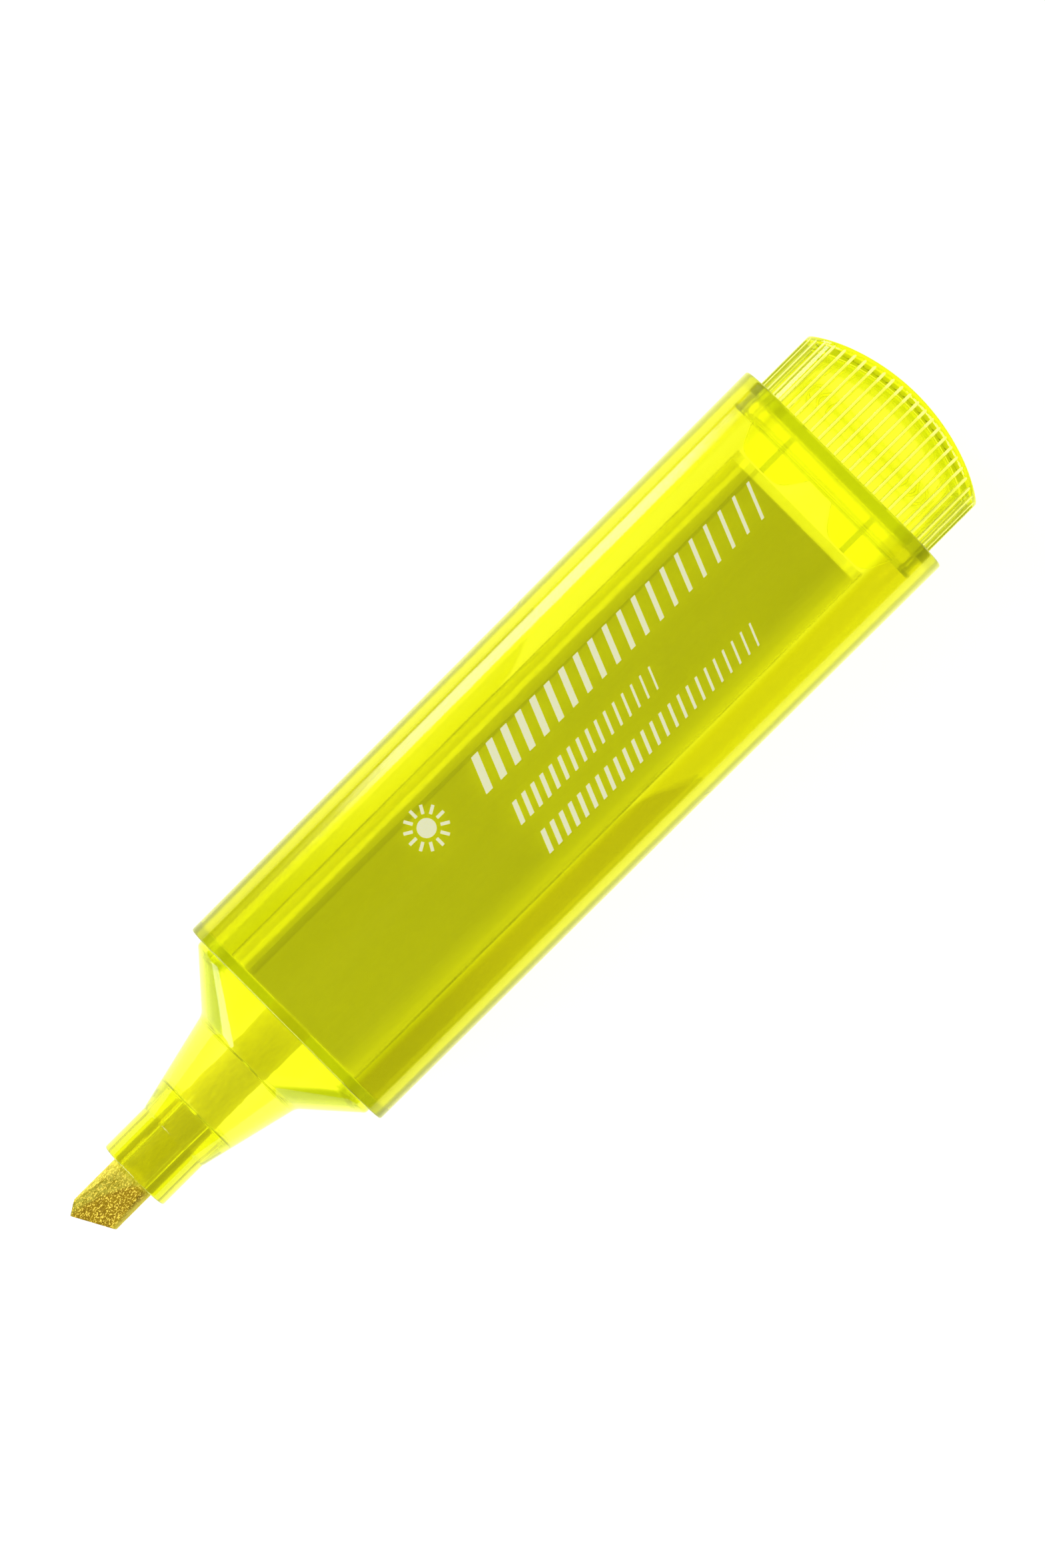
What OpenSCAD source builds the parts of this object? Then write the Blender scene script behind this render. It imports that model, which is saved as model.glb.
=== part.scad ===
// Flat-bodied highlighter with a translucent barrel, cap off, lying on its flat side.
// Millimetres. +X points to the rear plug, -X to the writing tip, +Z up through the thickness.
// The origin is under the middle of the overall length, on the face that the barrel rests on.

/* [Barrel] */
// Length of the barrel from front rim to rear rim
barrel_l = 77.5; // [70:0.5:85]
// Width of the barrel at its rear rim
barrel_rear_w = 27; // [25:0.1:29]
// Width of the barrel at its front rim, less than the rear by the moulding draft
barrel_front_w = 26.3; // [25:0.1:27]
// Thickness of the barrel between its two flat faces
barrel_t = 16; // [15:0.1:18]
// Radius of the barrel's four long corners
barrel_corner_r = 5; // [4:0.1:6]
// Wall thickness of the barrel
barrel_wall = 1.35; // [1.1:0.05:1.6]
// Rounding of the rim edges
rim_round = 0.25; // [0.1:0.05:0.4]

/* [Locating fins inside the barrel] */
// Height of the fins' middles above and below the barrel's middle plane
fin_offset = 2.5; // [1.5:0.1:3.5]
// Thickness of one fin
fin_t = 1; // [0.7:0.1:1.3]
// Length over which a fin grows from the wall to its full height
fin_lead_in = 6; // [4:0.5:8]
// Length of a fin at its full height
fin_full_l = 39; // [30:0.5:42]
// Gap between a fin's tip and the reservoir
fin_gap = 0.05; // [0.03:0.01:0.2]

/* [Reservoir] */
// Width of the wrapped reservoir
reservoir_w = 17.3; // [16:0.1:17.3]
// Thickness of the wrapped reservoir
reservoir_t = 12.6; // [11:0.1:12.8]
// Corner radius of the wrapped reservoir
reservoir_corner_r = 3.6; // [2:0.1:5]
// Length of the fibre core
core_l = 69; // [60:0.5:69]
// Length of film beyond the rear end of the core
film_overhang = 1; // [0.5:0.1:1.2]
// Thickness of the film sleeve
film_t = 0.15; // [0.1:0.01:0.25]
// Width of the strip where the film laps over itself
film_lap_w = 2; // [1:0.1:3]
// Distance of that strip's nearer edge from the middle
film_lap_y = 4.2; // [3:0.1:4.4]

/* [Nose section] */
// Thickness of the flange that is pressed into the barrel's mouth
flange_t = 1.2; // [1:0.1:1.5]
// Width of the ledge that shows in front of the barrel
ledge_w = 23.4; // [22:0.1:23.6]
// Thickness of the ledge between its flat faces
ledge_t = 13.2; // [12.8:0.1:13.3]
// Corner radius of the ledge
ledge_corner_r = 4; // [3:0.1:5]
// Height of the ledge in front of the barrel rim
ledge_h = 0.6; // [0.4:0.1:1]
// Length of the shoulder that turns the flat section into the round cone
shoulder_l = 4.7; // [4:0.1:6]
// Diameter of the cone where it leaves the shoulder
cone_rear_d = 13.2; // [12.6:0.1:13.3]
// Length of the cone
cone_l = 10.3; // [9:0.1:12]
// Diameter of the cone where it meets the nozzle
cone_front_d = 8.3; // [8.2:0.1:8.6]
// Diameter of the straight nozzle that a cap seals on
nozzle_d = 8.1; // [7.8:0.1:8.2]
// Length of the nozzle
nozzle_l = 5.7; // [5:0.1:7]
// Wall thickness of the shoulder
shoulder_wall = 1.1; // [0.9:0.1:1.3]
// Wall thickness of the cone
cone_wall = 0.7; // [0.6:0.05:1]
// Distance from the nozzle's end to the floor of the hollow cone
floor_depth = 8.9; // [8:0.1:10]
// Number of vent grooves round the nib's bore
vent_count = 6; // [4:1:8]
// Radius of each vent groove
vent_r = 0.35; // [0.2:0.05:0.4]

/* [Nib] */
// Diameter of the fibre bar
nib_d = 5.1; // [4.8:0.1:5.2]
// Length of nib in front of the nozzle, to the longer corner of the writing edge
nib_out = 7.2; // [6:0.1:8]
// Depth that the nib's tail is pushed into the reservoir
nib_tail = 6; // [4:0.5:8]
// Length and depth of the bevel round the nib's tail
tail_bevel = 1.2; // [0.8:0.1:1.5]
// Angle of each wedge facet to the nib's axis
wedge_angle = 11; // [9:0.5:13]
// Thickness of the writing edge
edge_t = 1.4; // [1:0.1:1.8]
// Slant of the writing edge across the nib
edge_slant = 28.5; // [24:0.5:32]
// Distance of the longer corner from the nib's axis
tip_offset = 1.65; // [1.4:0.05:1.9]
// Slope of the small bevel beside the longer corner, to the nib's axis
bevel_angle = 32; // [28:1:36]

/* [End plug] */
// Length of the plug's grip behind the barrel, to the top of its dome
grip_l = 10.1; // [9:0.1:12]
// Width of the grip at the barrel's rim
grip_w = 23.4; // [22:0.1:23.6]
// Thickness of the grip between its flat faces
grip_t = 12.6; // [12:0.1:12.8]
// Corner radius of the grip
grip_corner_r = 3.9; // [3.5:0.1:4.5]
// Radius of the domed end
dome_r = 22.3; // [20:0.1:25]
// Height of each grip rib
rib_h = 0.2; // [0.15:0.05:0.25]
// Width of each grip rib
rib_w = 0.3; // [0.25:0.01:0.4]
// Number of ribs across one flat face of the grip
flat_ribs = 14; // [12:1:15]
// Number of ribs round one corner of the grip
corner_ribs = 6; // [5:1:7]
// Number of ribs across one narrow side of the grip
side_ribs = 4; // [3:1:5]
// Width of the smooth band round the dome's edge
dome_band = 0.5; // [0.3:0.1:0.8]
// Depth of the ribs' tops below the band
band_step = 0.04; // [0.03:0.01:0.1]
// Wall thickness of the plug
plug_wall = 1.3; // [1:0.1:1.5]
// Depth of the full collar inside the barrel
collar_l = 1.4; // [1:0.1:2]
// Depth of the slimmer neck behind the collar
neck_l = 1.6; // [1:0.1:2]
// Height of the step from the collar down to the neck
neck_step = 0.3; // [0.2:0.05:0.4]
// Depth of the seal bead at the neck's inner end
seal_l = 0.5; // [0.4:0.1:0.8]
// Depth of the tongues beyond the seal bead
tongue_l = 2.65; // [2:0.05:2.65]
// Clearance between the plug's collar and the barrel
plug_clearance = 0.05; // [0.03:0.01:0.1]
// Thickness of each tongue
tongue_t = 1; // [0.8:0.1:1.2]
// Distance of a tongue's outer edge from the middle, at its root
tongue_root_outer = 9.7; // [9:0.1:10]
// Distance of a tongue's outer edge from the middle, at its end
tongue_end_outer = 8.4; // [7.5:0.1:9]
// Distance of a tongue's inner edge from the middle, at its root
tongue_root_inner = 1.5; // [1:0.1:2]
// Distance of a tongue's inner edge from the middle, at its end
tongue_end_inner = 3.2; // [2.5:0.1:4]
// Distance of each web's middle from the pen's middle
web_offset = 5.55; // [4:0.05:7]
// Thickness of each web between the front and back tongues
web_t = 0.6; // [0.5:0.1:1.2]
// Width of the two low bars across the inside of the grip
bar_w = 17.3; // [14:0.1:18]
// Length of those bars along the pen
bar_l = 1.9; // [1.5:0.1:2.5]
// Height of those bars above the grip's inner faces
bar_h = 1.2; // [0.8:0.1:2]
// Distance of those bars from the barrel's rim
bar_offset = 2.2; // [1.5:0.1:3]

/* [Printed mark] */
// Thickness of the ink layer on the top face
ink_t = 0.03; // [0.02:0.01:0.05]
// Height of the large line of the mark
big_line_h = 3.6; // [3:0.1:4]
// Height of the two small lines of the mark
small_line_h = 2.2; // [1.8:0.1:2.4]
// Lean of the strokes, like strokes made with a chisel tip
mark_lean = 22; // [15:1:30]
// Distance across the barrel of the large line from the middle
big_line_y = 3.9; // [3.5:0.1:4.2]
// Distance across the barrel of the first small line from the middle
first_small_y = -1.35; // [-2:0.05:-1]
// Distance across the barrel of the second small line from the middle
second_small_y = -5.3; // [-5.6:0.1:-4.5]
// Number of strokes in the large line
big_strokes = 20; // [10:1:22]
// Distance between strokes in the large line
big_pitch = 2; // [1.5:0.1:2.1]
// Number of strokes in the first small line
first_strokes = 16; // [8:1:20]
// Number of strokes in the second small line
second_strokes = 24; // [12:1:28]
// Distance between strokes in the small lines
small_pitch = 1.25; // [1:0.05:1.5]
// Width of the heaviest stroke, as a share of the distance between strokes
heavy_share = 0.45; // [0.3:0.01:0.6]
// Width of the finest stroke, as a share of the heaviest
fine_share = 0.4; // [0.2:0.05:0.6]
// Distance from the barrel's front rim to the first strokes
mark_start = 30.7; // [28:0.1:34]
// Distance of the burst mark in front of the first strokes
burst_gap = 7.2; // [5:0.1:9]
// Outer radius of the round burst mark
burst_r = 2.35; // [1.8:0.05:2.4]
// Number of rays in the burst mark
burst_rays = 12; // [8:1:16]

/* [Hidden] */
// Thickness of the thin slices that a hull spans
slab = 0.1;
// Overlap of two joined shapes, reach of a cut past a face, and size of a large cutter
lap = 0.1;
cut_past = 1;
cutter = 20;
// Steps in each rounded corner
corner_steps = 12;
// Gap all round at a press fit
press_gap = 0.02;
// Small insets that keep neighbouring faces from falling on each other
seat_inset = 0.2;
shoulder_inset = 0.06;
hollow_inset = 0.3;
// Depths of a rib's root and a web's root in the wall behind
rib_root = 0.3;
web_root = 2;

overall_l = nib_out + nozzle_l + cone_l + shoulder_l + ledge_h + barrel_l + grip_l;
nib_x = -overall_l / 2;
nozzle_front_x = nib_x + nib_out;
nozzle_rear_x = nozzle_front_x + nozzle_l;
cone_rear_x = nozzle_rear_x + cone_l;
ledge_front_x = cone_rear_x + shoulder_l;
barrel_front_x = ledge_front_x + ledge_h;
barrel_rear_x = barrel_front_x + barrel_l;
flange_rear_x = barrel_front_x + flange_t;
dome_x = barrel_rear_x + grip_l;
mid_z = barrel_t / 2;
bore_in_w = barrel_rear_w - 2 * barrel_wall;
bore_out_w = barrel_front_w - 2 * barrel_wall;
bore_t = barrel_t - 2 * barrel_wall;
bore_corner_r = barrel_corner_r - barrel_wall;
fin_tip_y = reservoir_w / 2 + fin_gap;
core_w = reservoir_w - 2 * film_t - 2 * press_gap;
core_t = reservoir_t - 2 * film_t - 2 * press_gap;
core_corner_r = reservoir_corner_r - film_t;
core_rear_x = flange_rear_x + core_l;
film_rear_x = core_rear_x + film_overhang;
floor_x = nozzle_front_x + floor_depth;
nib_r = nib_d / 2;
bore_r = nib_r + press_gap;
nib_rear_x = flange_rear_x + nib_tail;
mark_x = barrel_front_x + mark_start;
collar_x = barrel_rear_x - collar_l;
seal_x = collar_x - neck_l;
tongue_top_x = seal_x - seal_l;
tongue_end_x = tongue_top_x - tongue_l;

// Width of the barrel's bore at a place along its length
function bore_w_at(x) = bore_out_w + (bore_in_w - bore_out_w) * (x - barrel_front_x) / barrel_l;

// Distance from the pen's middle to half way through the barrel's narrow wall
function wall_y_at(x) = (bore_w_at(x) + barrel_wall) / 2;

// Outline of a rounded rectangle, with its corners as arcs
function rounded_outline(w, t, r) = [
    for (corner = [0 : 3], i = [0 : corner_steps])
        let (a = 90 * corner + 90 * i / corner_steps)
            [(corner == 0 || corner == 3 ? 1 : -1) * (w / 2 - r) + r * cos(a),
             (corner < 2 ? 1 : -1) * (t / 2 - r) + r * sin(a)]
];

// Bar of rounded-rectangle section lying along X
module flat_bar(x0, x1, w, t, r) {
    translate([x0, 0, mid_z])
        rotate([90, 0, 90])
            linear_extrude(x1 - x0)
                polygon(rounded_outline(w, t, r));
}

// Short slice of such a bar, for the ends of a hull
module slice(x, w, t, r) {
    flat_bar(x, x + slab, w, t, r);
}

// Round bar or cone lying along X
module round_bar(x0, x1, r0, r1) {
    translate([x0, 0, mid_z])
        rotate([0, 90, 0])
            cylinder(r1 = r0, r2 = r1, h = x1 - x0, $fn = 96);
}

// Locating fin on the +Y side of the barrel, drawn flat and given its thickness
module fin(z) {
    front_x = flange_rear_x + press_gap;
    full_x = front_x + fin_full_l;
    end_x = full_x + fin_lead_in;
    translate([0, 0, z - fin_t / 2])
        linear_extrude(fin_t)
            polygon([
                [front_x, wall_y_at(front_x)],
                [front_x, fin_tip_y],
                [full_x, fin_tip_y],
                [end_x, bore_w_at(end_x) / 2],
                [end_x, wall_y_at(end_x)]
            ]);
}

module barrel() {
    color("yellow", 0.6) {
        difference() {
            hull() {
                slice(barrel_front_x, barrel_front_w - 2 * rim_round, barrel_t - 2 * rim_round,
                    barrel_corner_r - rim_round);
                slice(barrel_front_x + rim_round, barrel_front_w, barrel_t, barrel_corner_r);
                slice(barrel_rear_x - rim_round - slab, barrel_rear_w, barrel_t, barrel_corner_r);
                slice(barrel_rear_x - slab, barrel_rear_w - 2 * rim_round, barrel_t - 2 * rim_round,
                    barrel_corner_r - rim_round);
            }
            hull() {
                slice(barrel_front_x - cut_past, bore_w_at(barrel_front_x - cut_past), bore_t,
                    bore_corner_r);
                slice(barrel_rear_x + cut_past, bore_w_at(barrel_rear_x + cut_past), bore_t, bore_corner_r);
            }
        }
        for (side = [0, 1], z = [-1, 1])
            mirror([0, side, 0])
                fin(mid_z + z * fin_offset);
    }
}

// Blend from the ledge's flat section, less a wall, to a round end inside the cone
module shoulder(wall, end_r) {
    hull() {
        slice(ledge_front_x - slab / 2, ledge_w - seat_inset - 2 * wall, ledge_t - 2 * wall,
            ledge_corner_r - wall);
        round_bar(cone_rear_x - 2 * slab, cone_rear_x, end_r, end_r);
    }
}

module nose_outside() {
    flange_w = bore_w_at(barrel_front_x) - 2 * press_gap;
    flat_bar(barrel_front_x, flange_rear_x, flange_w, bore_t - 2 * press_gap, bore_corner_r);
    flat_bar(ledge_front_x, barrel_front_x + lap, ledge_w, ledge_t, ledge_corner_r);
    shoulder(0, cone_rear_d / 2 - shoulder_inset);
    round_bar(nozzle_rear_x, cone_rear_x, cone_front_d / 2, cone_rear_d / 2);
    round_bar(nozzle_front_x + rim_round, nozzle_rear_x + lap, nozzle_d / 2, nozzle_d / 2);
    round_bar(nozzle_front_x, nozzle_front_x + rim_round, nozzle_d / 2 - rim_round, nozzle_d / 2);
}

// Hollow behind the floor: round in the cone, then opening out to the flat section
module nose_hollow() {
    cone_slope = (cone_rear_d - cone_front_d) / 2 / cone_l;
    floor_r = cone_front_d / 2 + (floor_x - nozzle_rear_x) * cone_slope - cone_wall;
    top_r = cone_rear_d / 2 - cone_wall;
    top_w = ledge_w - 2 * shoulder_wall;
    top_t = ledge_t - 2 * shoulder_wall;
    round_bar(floor_x, cone_rear_x, floor_r, top_r);
    shoulder(shoulder_wall, top_r - hollow_inset);
    flat_bar(ledge_front_x, flange_rear_x + cut_past, top_w, top_t, ledge_corner_r - shoulder_wall);
}

module nose_section() {
    color("yellow", 0.6) {
        difference() {
            nose_outside();
            nose_hollow();
            round_bar(nozzle_front_x - cut_past, floor_x + cut_past, bore_r, bore_r);
            for (i = [0 : vent_count - 1])
                translate([nozzle_front_x - cut_past, 0, mid_z])
                    rotate([360 / vent_count * (i + 0.5), 0, 0])
                        translate([0, 0, nib_r])
                            rotate([0, 90, 0])
                                cylinder(r = vent_r, h = floor_depth + 2 * cut_past, $fn = 32);
        }
    }
}

// Everything on the far side of a plane through a point on the nib's outline
module cut_away(x, y, turn) {
    translate([x, y, mid_z])
        rotate([0, 0, turn])
            translate([-cutter, -cutter, -cutter])
                cube([cutter, 2 * cutter, 2 * cutter]);
}

module nib() {
    color("gold") difference() {
        union() {
            round_bar(nib_x, nib_rear_x - tail_bevel, nib_r, nib_r);
            round_bar(nib_rear_x - tail_bevel, nib_rear_x, nib_r, nib_r - tail_bevel);
        }
        cut_away(nib_x, tip_offset, edge_slant);
        cut_away(nib_x, tip_offset, -90 + bevel_angle);
        for (side = [-1, 1])
            translate([nib_x, 0, mid_z + side * edge_t / 2])
                rotate([0, -side * wedge_angle, 0])
                    translate([-cutter, -cutter, side > 0 ? 0 : -cutter])
                        cube([2 * cutter, 2 * cutter, cutter]);
    }
}

module reservoir_core() {
    color("olive") difference() {
        flat_bar(flange_rear_x, core_rear_x, core_w, core_t, core_corner_r);
        round_bar(flange_rear_x - cut_past, nib_rear_x + press_gap, bore_r, bore_r);
    }
}

module reservoir_film() {
    color("khaki", 0.4) {
        difference() {
            flat_bar(flange_rear_x, film_rear_x, reservoir_w, reservoir_t, reservoir_corner_r);
            flat_bar(flange_rear_x - cut_past, film_rear_x + cut_past, core_w + 2 * press_gap,
                core_t + 2 * press_gap, core_corner_r);
        }
        translate([flange_rear_x, film_lap_y, mid_z + reservoir_t / 2 - film_t / 2])
            cube([film_rear_x - flange_rear_x, film_lap_w, film_t]);
    }
}

// Grip outline in plan: straight sides and an arc across the end
module dome_plan(r_less, w) {
    centre_x = dome_x - dome_r;
    intersection() {
        translate([centre_x, 0, -cut_past])
            cylinder(r = dome_r - r_less, h = barrel_t + 2 * cut_past, $fn = 180);
        translate([barrel_rear_x - cutter, -w / 2, -cut_past])
            cube([2 * cutter, w, barrel_t + 2 * cut_past]);
    }
}

// One grip rib at a place round the grip, lying along X
module rib(y, z, turn) {
    translate([barrel_rear_x + lap, y, mid_z + z])
        rotate([turn, 0, 0])
            translate([0, -rib_w / 2, -rib_root])
                cube([grip_l, rib_w, rib_root + rib_h - band_step]);
}

// Smooth band round the dome's edge, just proud of the ribs that run into it
module dome_rim() {
    intersection() {
        flat_bar(barrel_rear_x, dome_x, grip_w, grip_t, grip_corner_r + rib_h);
        difference() {
            dome_plan(0, barrel_rear_w);
            dome_plan(dome_band, barrel_rear_w + cut_past);
        }
    }
}

module grip_ribs() {
    flat_w = grip_w - 2 * rib_h - 2 * grip_corner_r;
    side_t = grip_t - 2 * rib_h - 2 * grip_corner_r;
    half_t = grip_t / 2 - rib_h;
    half_w = grip_w / 2 - rib_h;
    intersection() {
        union() {
            for (i = [0 : flat_ribs - 1], face = [0, 1]) {
                y = flat_w * ((i + 0.5) / flat_ribs - 0.5);
                rib(y, (1 - 2 * face) * half_t, 180 * face);
            }
            for (i = [0 : side_ribs - 1], face = [0, 1]) {
                z = side_t * ((i + 0.5) / side_ribs - 0.5);
                rib((1 - 2 * face) * half_w, z, face == 0 ? -90 : 90);
            }
            for (i = [0 : corner_ribs - 1], corner = [0 : 3]) {
                a = 90 * corner + 90 * (i + 0.5) / corner_ribs;
                corner_y = (corner == 0 || corner == 3 ? 1 : -1) * flat_w / 2;
                corner_z = (corner < 2 ? 1 : -1) * side_t / 2;
                rib(corner_y + grip_corner_r * cos(a), corner_z + grip_corner_r * sin(a), a - 90);
            }
        }
        dome_plan(dome_band / 2, barrel_rear_w);
    }
}

module end_plug() {
    collar_w = bore_w_at(seal_x) - 2 * plug_clearance;
    collar_t = bore_t - 2 * plug_clearance;
    core_less_w = grip_w - 2 * rib_h;
    core_less_t = grip_t - 2 * rib_h;
    color("yellow", 0.6) {
        difference() {
            union() {
                intersection() {
                    flat_bar(barrel_rear_x - lap, dome_x, core_less_w, core_less_t, grip_corner_r);
                    dome_plan(0, barrel_rear_w);
                }
                grip_ribs();
                dome_rim();
                flat_bar(collar_x, barrel_rear_x, collar_w, collar_t, bore_corner_r);
                flat_bar(seal_x - lap, collar_x + lap, collar_w - 2 * neck_step, collar_t - 2 * neck_step,
                    bore_corner_r - neck_step);
                flat_bar(tongue_top_x, seal_x, collar_w, collar_t, bore_corner_r);
            }
            intersection() {
                flat_bar(tongue_end_x - cut_past, dome_x, core_less_w - 2 * plug_wall,
                    core_less_t - 2 * plug_wall, grip_corner_r - plug_wall);
                dome_plan(plug_wall, barrel_rear_w);
            }
        }
        cross_bars();
        tongues(collar_w, collar_t);
    }
}

// Low stiffening bars across the inside of the grip, one on each flat wall and rooted in it
module cross_bars() {
    inner_z = grip_t / 2 - rib_h - plug_wall;
    for (face = [0, 1])
        translate([0, 0, mid_z])
            mirror([0, 0, face])
                translate([barrel_rear_x + bar_offset, -bar_w / 2, inner_z - bar_h])
                    cube([bar_l, bar_w, bar_h + plug_wall / 2]);
}

// Two pairs of tapered tongues with a web across each pair, trimmed to the collar's section
module tongues(collar_w, collar_t) {
    root_x = tongue_top_x + lap;
    intersection() {
        flat_bar(tongue_end_x, root_x + web_root, collar_w, collar_t, bore_corner_r);
        union() {
            for (side = [-1, 1], z = [mid_z + collar_t / 2 - tongue_t, mid_z - collar_t / 2])
                translate([0, 0, z])
                    linear_extrude(tongue_t)
                        polygon([
                            [root_x, side * tongue_root_outer],
                            [tongue_end_x, side * tongue_end_outer],
                            [tongue_end_x, side * tongue_end_inner],
                            [root_x, side * tongue_root_inner]
                        ]);
            for (side = [-1, 1])
                translate([tongue_end_x, side * web_offset - web_t / 2, mid_z - collar_t / 2 + tongue_t / 2])
                    cube([root_x + web_root - tongue_end_x, web_t, collar_t - tongue_t]);
        }
    }
}

// A leaning stroke of the printed mark
module stroke(x, y, w, h) {
    shift = h * tan(mark_lean) / 2;
    translate([x, y, barrel_t])
        linear_extrude(ink_t)
            polygon([[-shift, -h / 2], [w - shift, -h / 2], [w + shift, h / 2], [shift, h / 2]]);
}

// Row of strokes from a heavy one to a fine one, at an even pitch
module stroke_row(y, h, count, pitch) {
    for (i = [0 : count - 1]) {
        lightening = (1 - fine_share) * i / (count - 1);
        stroke(mark_x + i * pitch, y, pitch * heavy_share * (1 - lightening), h);
    }
}

// Disc with short rays round it
module burst(x, y) {
    disc_r = 0.42 * burst_r;
    ray_from = 0.6 * burst_r;
    ray_w = 0.14 * burst_r;
    translate([x, y, barrel_t])
        linear_extrude(ink_t) {
            circle(r = disc_r, $fn = 64);
            for (i = [0 : burst_rays - 1])
                rotate(360 / burst_rays * i)
                    translate([ray_from, -ray_w / 2])
                        square([burst_r - ray_from, ray_w]);
        }
}

module barrel_print() {
    color("ivory") {
        stroke_row(big_line_y, big_line_h, big_strokes, big_pitch);
        stroke_row(first_small_y, small_line_h, first_strokes, small_pitch);
        stroke_row(second_small_y, small_line_h, second_strokes, small_pitch);
        burst(mark_x - burst_gap, big_line_y);
    }
}

barrel();
nose_section();
nib();
reservoir_core();
reservoir_film();
end_plug();
barrel_print();
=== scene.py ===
"""Looks of a flat translucent highlighter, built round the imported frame.

Shapes are worked out in millimetres from the frame's own boxes and turned into metres when a piece is
finished. A station is (x, half width, half thickness, corner radius) of a rounded rectangle across X.
"""

import math

import bmesh
import bpy
from mathutils import Matrix, Vector, noise


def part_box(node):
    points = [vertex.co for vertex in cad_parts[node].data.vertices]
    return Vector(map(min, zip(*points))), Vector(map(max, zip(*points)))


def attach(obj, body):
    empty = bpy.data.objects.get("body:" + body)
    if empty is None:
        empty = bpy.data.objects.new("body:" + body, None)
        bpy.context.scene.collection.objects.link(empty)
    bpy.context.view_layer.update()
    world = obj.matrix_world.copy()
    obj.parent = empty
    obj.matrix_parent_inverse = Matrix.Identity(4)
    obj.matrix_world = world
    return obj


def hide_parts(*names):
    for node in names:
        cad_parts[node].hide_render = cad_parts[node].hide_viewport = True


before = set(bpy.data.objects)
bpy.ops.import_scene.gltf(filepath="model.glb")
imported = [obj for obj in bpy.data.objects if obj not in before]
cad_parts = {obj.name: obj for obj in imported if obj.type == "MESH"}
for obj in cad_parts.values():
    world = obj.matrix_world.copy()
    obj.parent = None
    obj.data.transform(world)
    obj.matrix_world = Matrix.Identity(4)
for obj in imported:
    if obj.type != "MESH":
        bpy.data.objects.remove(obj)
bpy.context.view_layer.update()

MM = 0.001


def box_mm(node):
    """Lowest and highest corner of a CAD node, in millimetres."""
    low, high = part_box(node)
    return [value / MM for value in low], [value / MM for value in high]


# ---------------------------------------------------------------- sizes and places, in millimetres

barrel_low, barrel_high = box_mm("barrel")
nose_low, nose_high = box_mm("nose_section")
nib_low, nib_high = box_mm("nib")
core_low, core_high = box_mm("reservoir_core")
film_low, film_high = box_mm("reservoir_film")
plug_low, plug_high = box_mm("end_plug")

# Barrel
HALF_T = barrel_high[2] / 2
MID_Z = HALF_T
FRONT_RIM, REAR_RIM = barrel_low[0], barrel_high[0]
REAR_HALF_W = barrel_high[1]
FRONT_HALF_W = REAR_HALF_W - 0.35
BARREL_CORNER = 5.0
BARREL_WALL = 1.35
FIN_LEVEL = 2.5
FIN_THICK = 1.0
FIN_L = 39
FIN_RUNOUT = 6
FIN_GAP = 0.22

# Nose section, from the writing end to the flange in the barrel's mouth
NOZZLE_TIP, FLANGE_REAR = nose_low[0], nose_high[0]
NOZZLE_REAR = NOZZLE_TIP + 5.7
CONE_FLOOR = NOZZLE_TIP + 8.9
CONE_REAR = NOZZLE_REAR + 10.3
LEDGE_FRONT = FRONT_RIM - 0.6
NOZZLE_R = 4.05
CONE_FRONT_R = 4.15
CONE_R = 6.6
CONE_WALL = 0.6
LEDGE_HALF_W = 11.7
LEDGE_HALF_T = 6.6
LEDGE_CORNER = 4.0
NOSE_WALL = 1.1
VENT_COUNT = 6
VENT_R = 0.22

# Nib
NIB_R = nib_high[1]
NIB_HOLE_R = NIB_R + 0.02
NIB_ZONE = 9.0
NIB_TAPER = 1.5
NIB_TAIL_SHARE = 0.6
NIB_EDGE_HALF = 0.7
NIB_POINT_Y = 1.65
NIB_WEDGE = math.tan(math.radians(11))
NIB_SLANT = math.tan(math.radians(28.5))
NIB_BEVEL = math.tan(math.radians(58))
FINE_DENT, COARSE_DENT, WET_DENT = 0.035, 0.02, 0.3

# Reservoir
CORE_CORNER = 3.45
FILM_CORNER = 3.6
FILM_THICK = 0.12
FILM_HALF_T = film_high[1] - 2.35
LAP_NEAR_Y, LAP_FAR_Y = 4.4, 6.1
LAP_WAVE = 0.25

# End plug
TONGUE_END, DOME_TOP = plug_low[0], plug_high[0]
COLLAR_REAR = REAR_RIM - 0.05
COLLAR_BAND = REAR_RIM - 1.4
SEAL_REAR = REAR_RIM - 3.0
SEAL_FRONT = SEAL_REAR - 0.5
SEAL_HEIGHT = 0.3
COLLAR_HALF_T = (plug_high[2] - plug_low[2]) / 2
COLLAR = (plug_high[1], COLLAR_HALF_T, BARREL_CORNER - BARREL_WALL - 0.05)
GRIP_HALF_W = 11.5
GRIP_HALF_T = 6.1
GRIP_CORNER = 3.9
GRIP = (GRIP_HALF_W, GRIP_HALF_T, GRIP_CORNER)
PLUG_WALL = 1.3
DOME_R = 22.3
BAND_DEPTH = 0.5
RIB_HEIGHT = 0.2
RIB_WIDTH = 0.34
RIB_SUNK = 0.12
RIB_START = 0.12
RIBS_ON_FLAT, RIBS_ON_SIDE, RIBS_ON_CORNER = 14, 4, 6
TONGUE_THICK = 1.0
TONGUE_INSET = 0.12
TONGUE_ROOT_NEAR, TONGUE_ROOT_FAR = 1.5, 9.5
TONGUE_TIP_NEAR, TONGUE_TIP_FAR = 3.3, 8.4
WEB_Y = 5.55
WEB_THICK = 0.6
WEB_INSET = 0.36
WEB_REAR = REAR_RIM - 1.6
BAR_START, BAR_END = REAR_RIM + 1.8, REAR_RIM + 4.5
BAR_HALF_W = 8.65
BAR_HEIGHT = 0.5
PLUG_ARC, PLUG_FLAT = 14, 28

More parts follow.
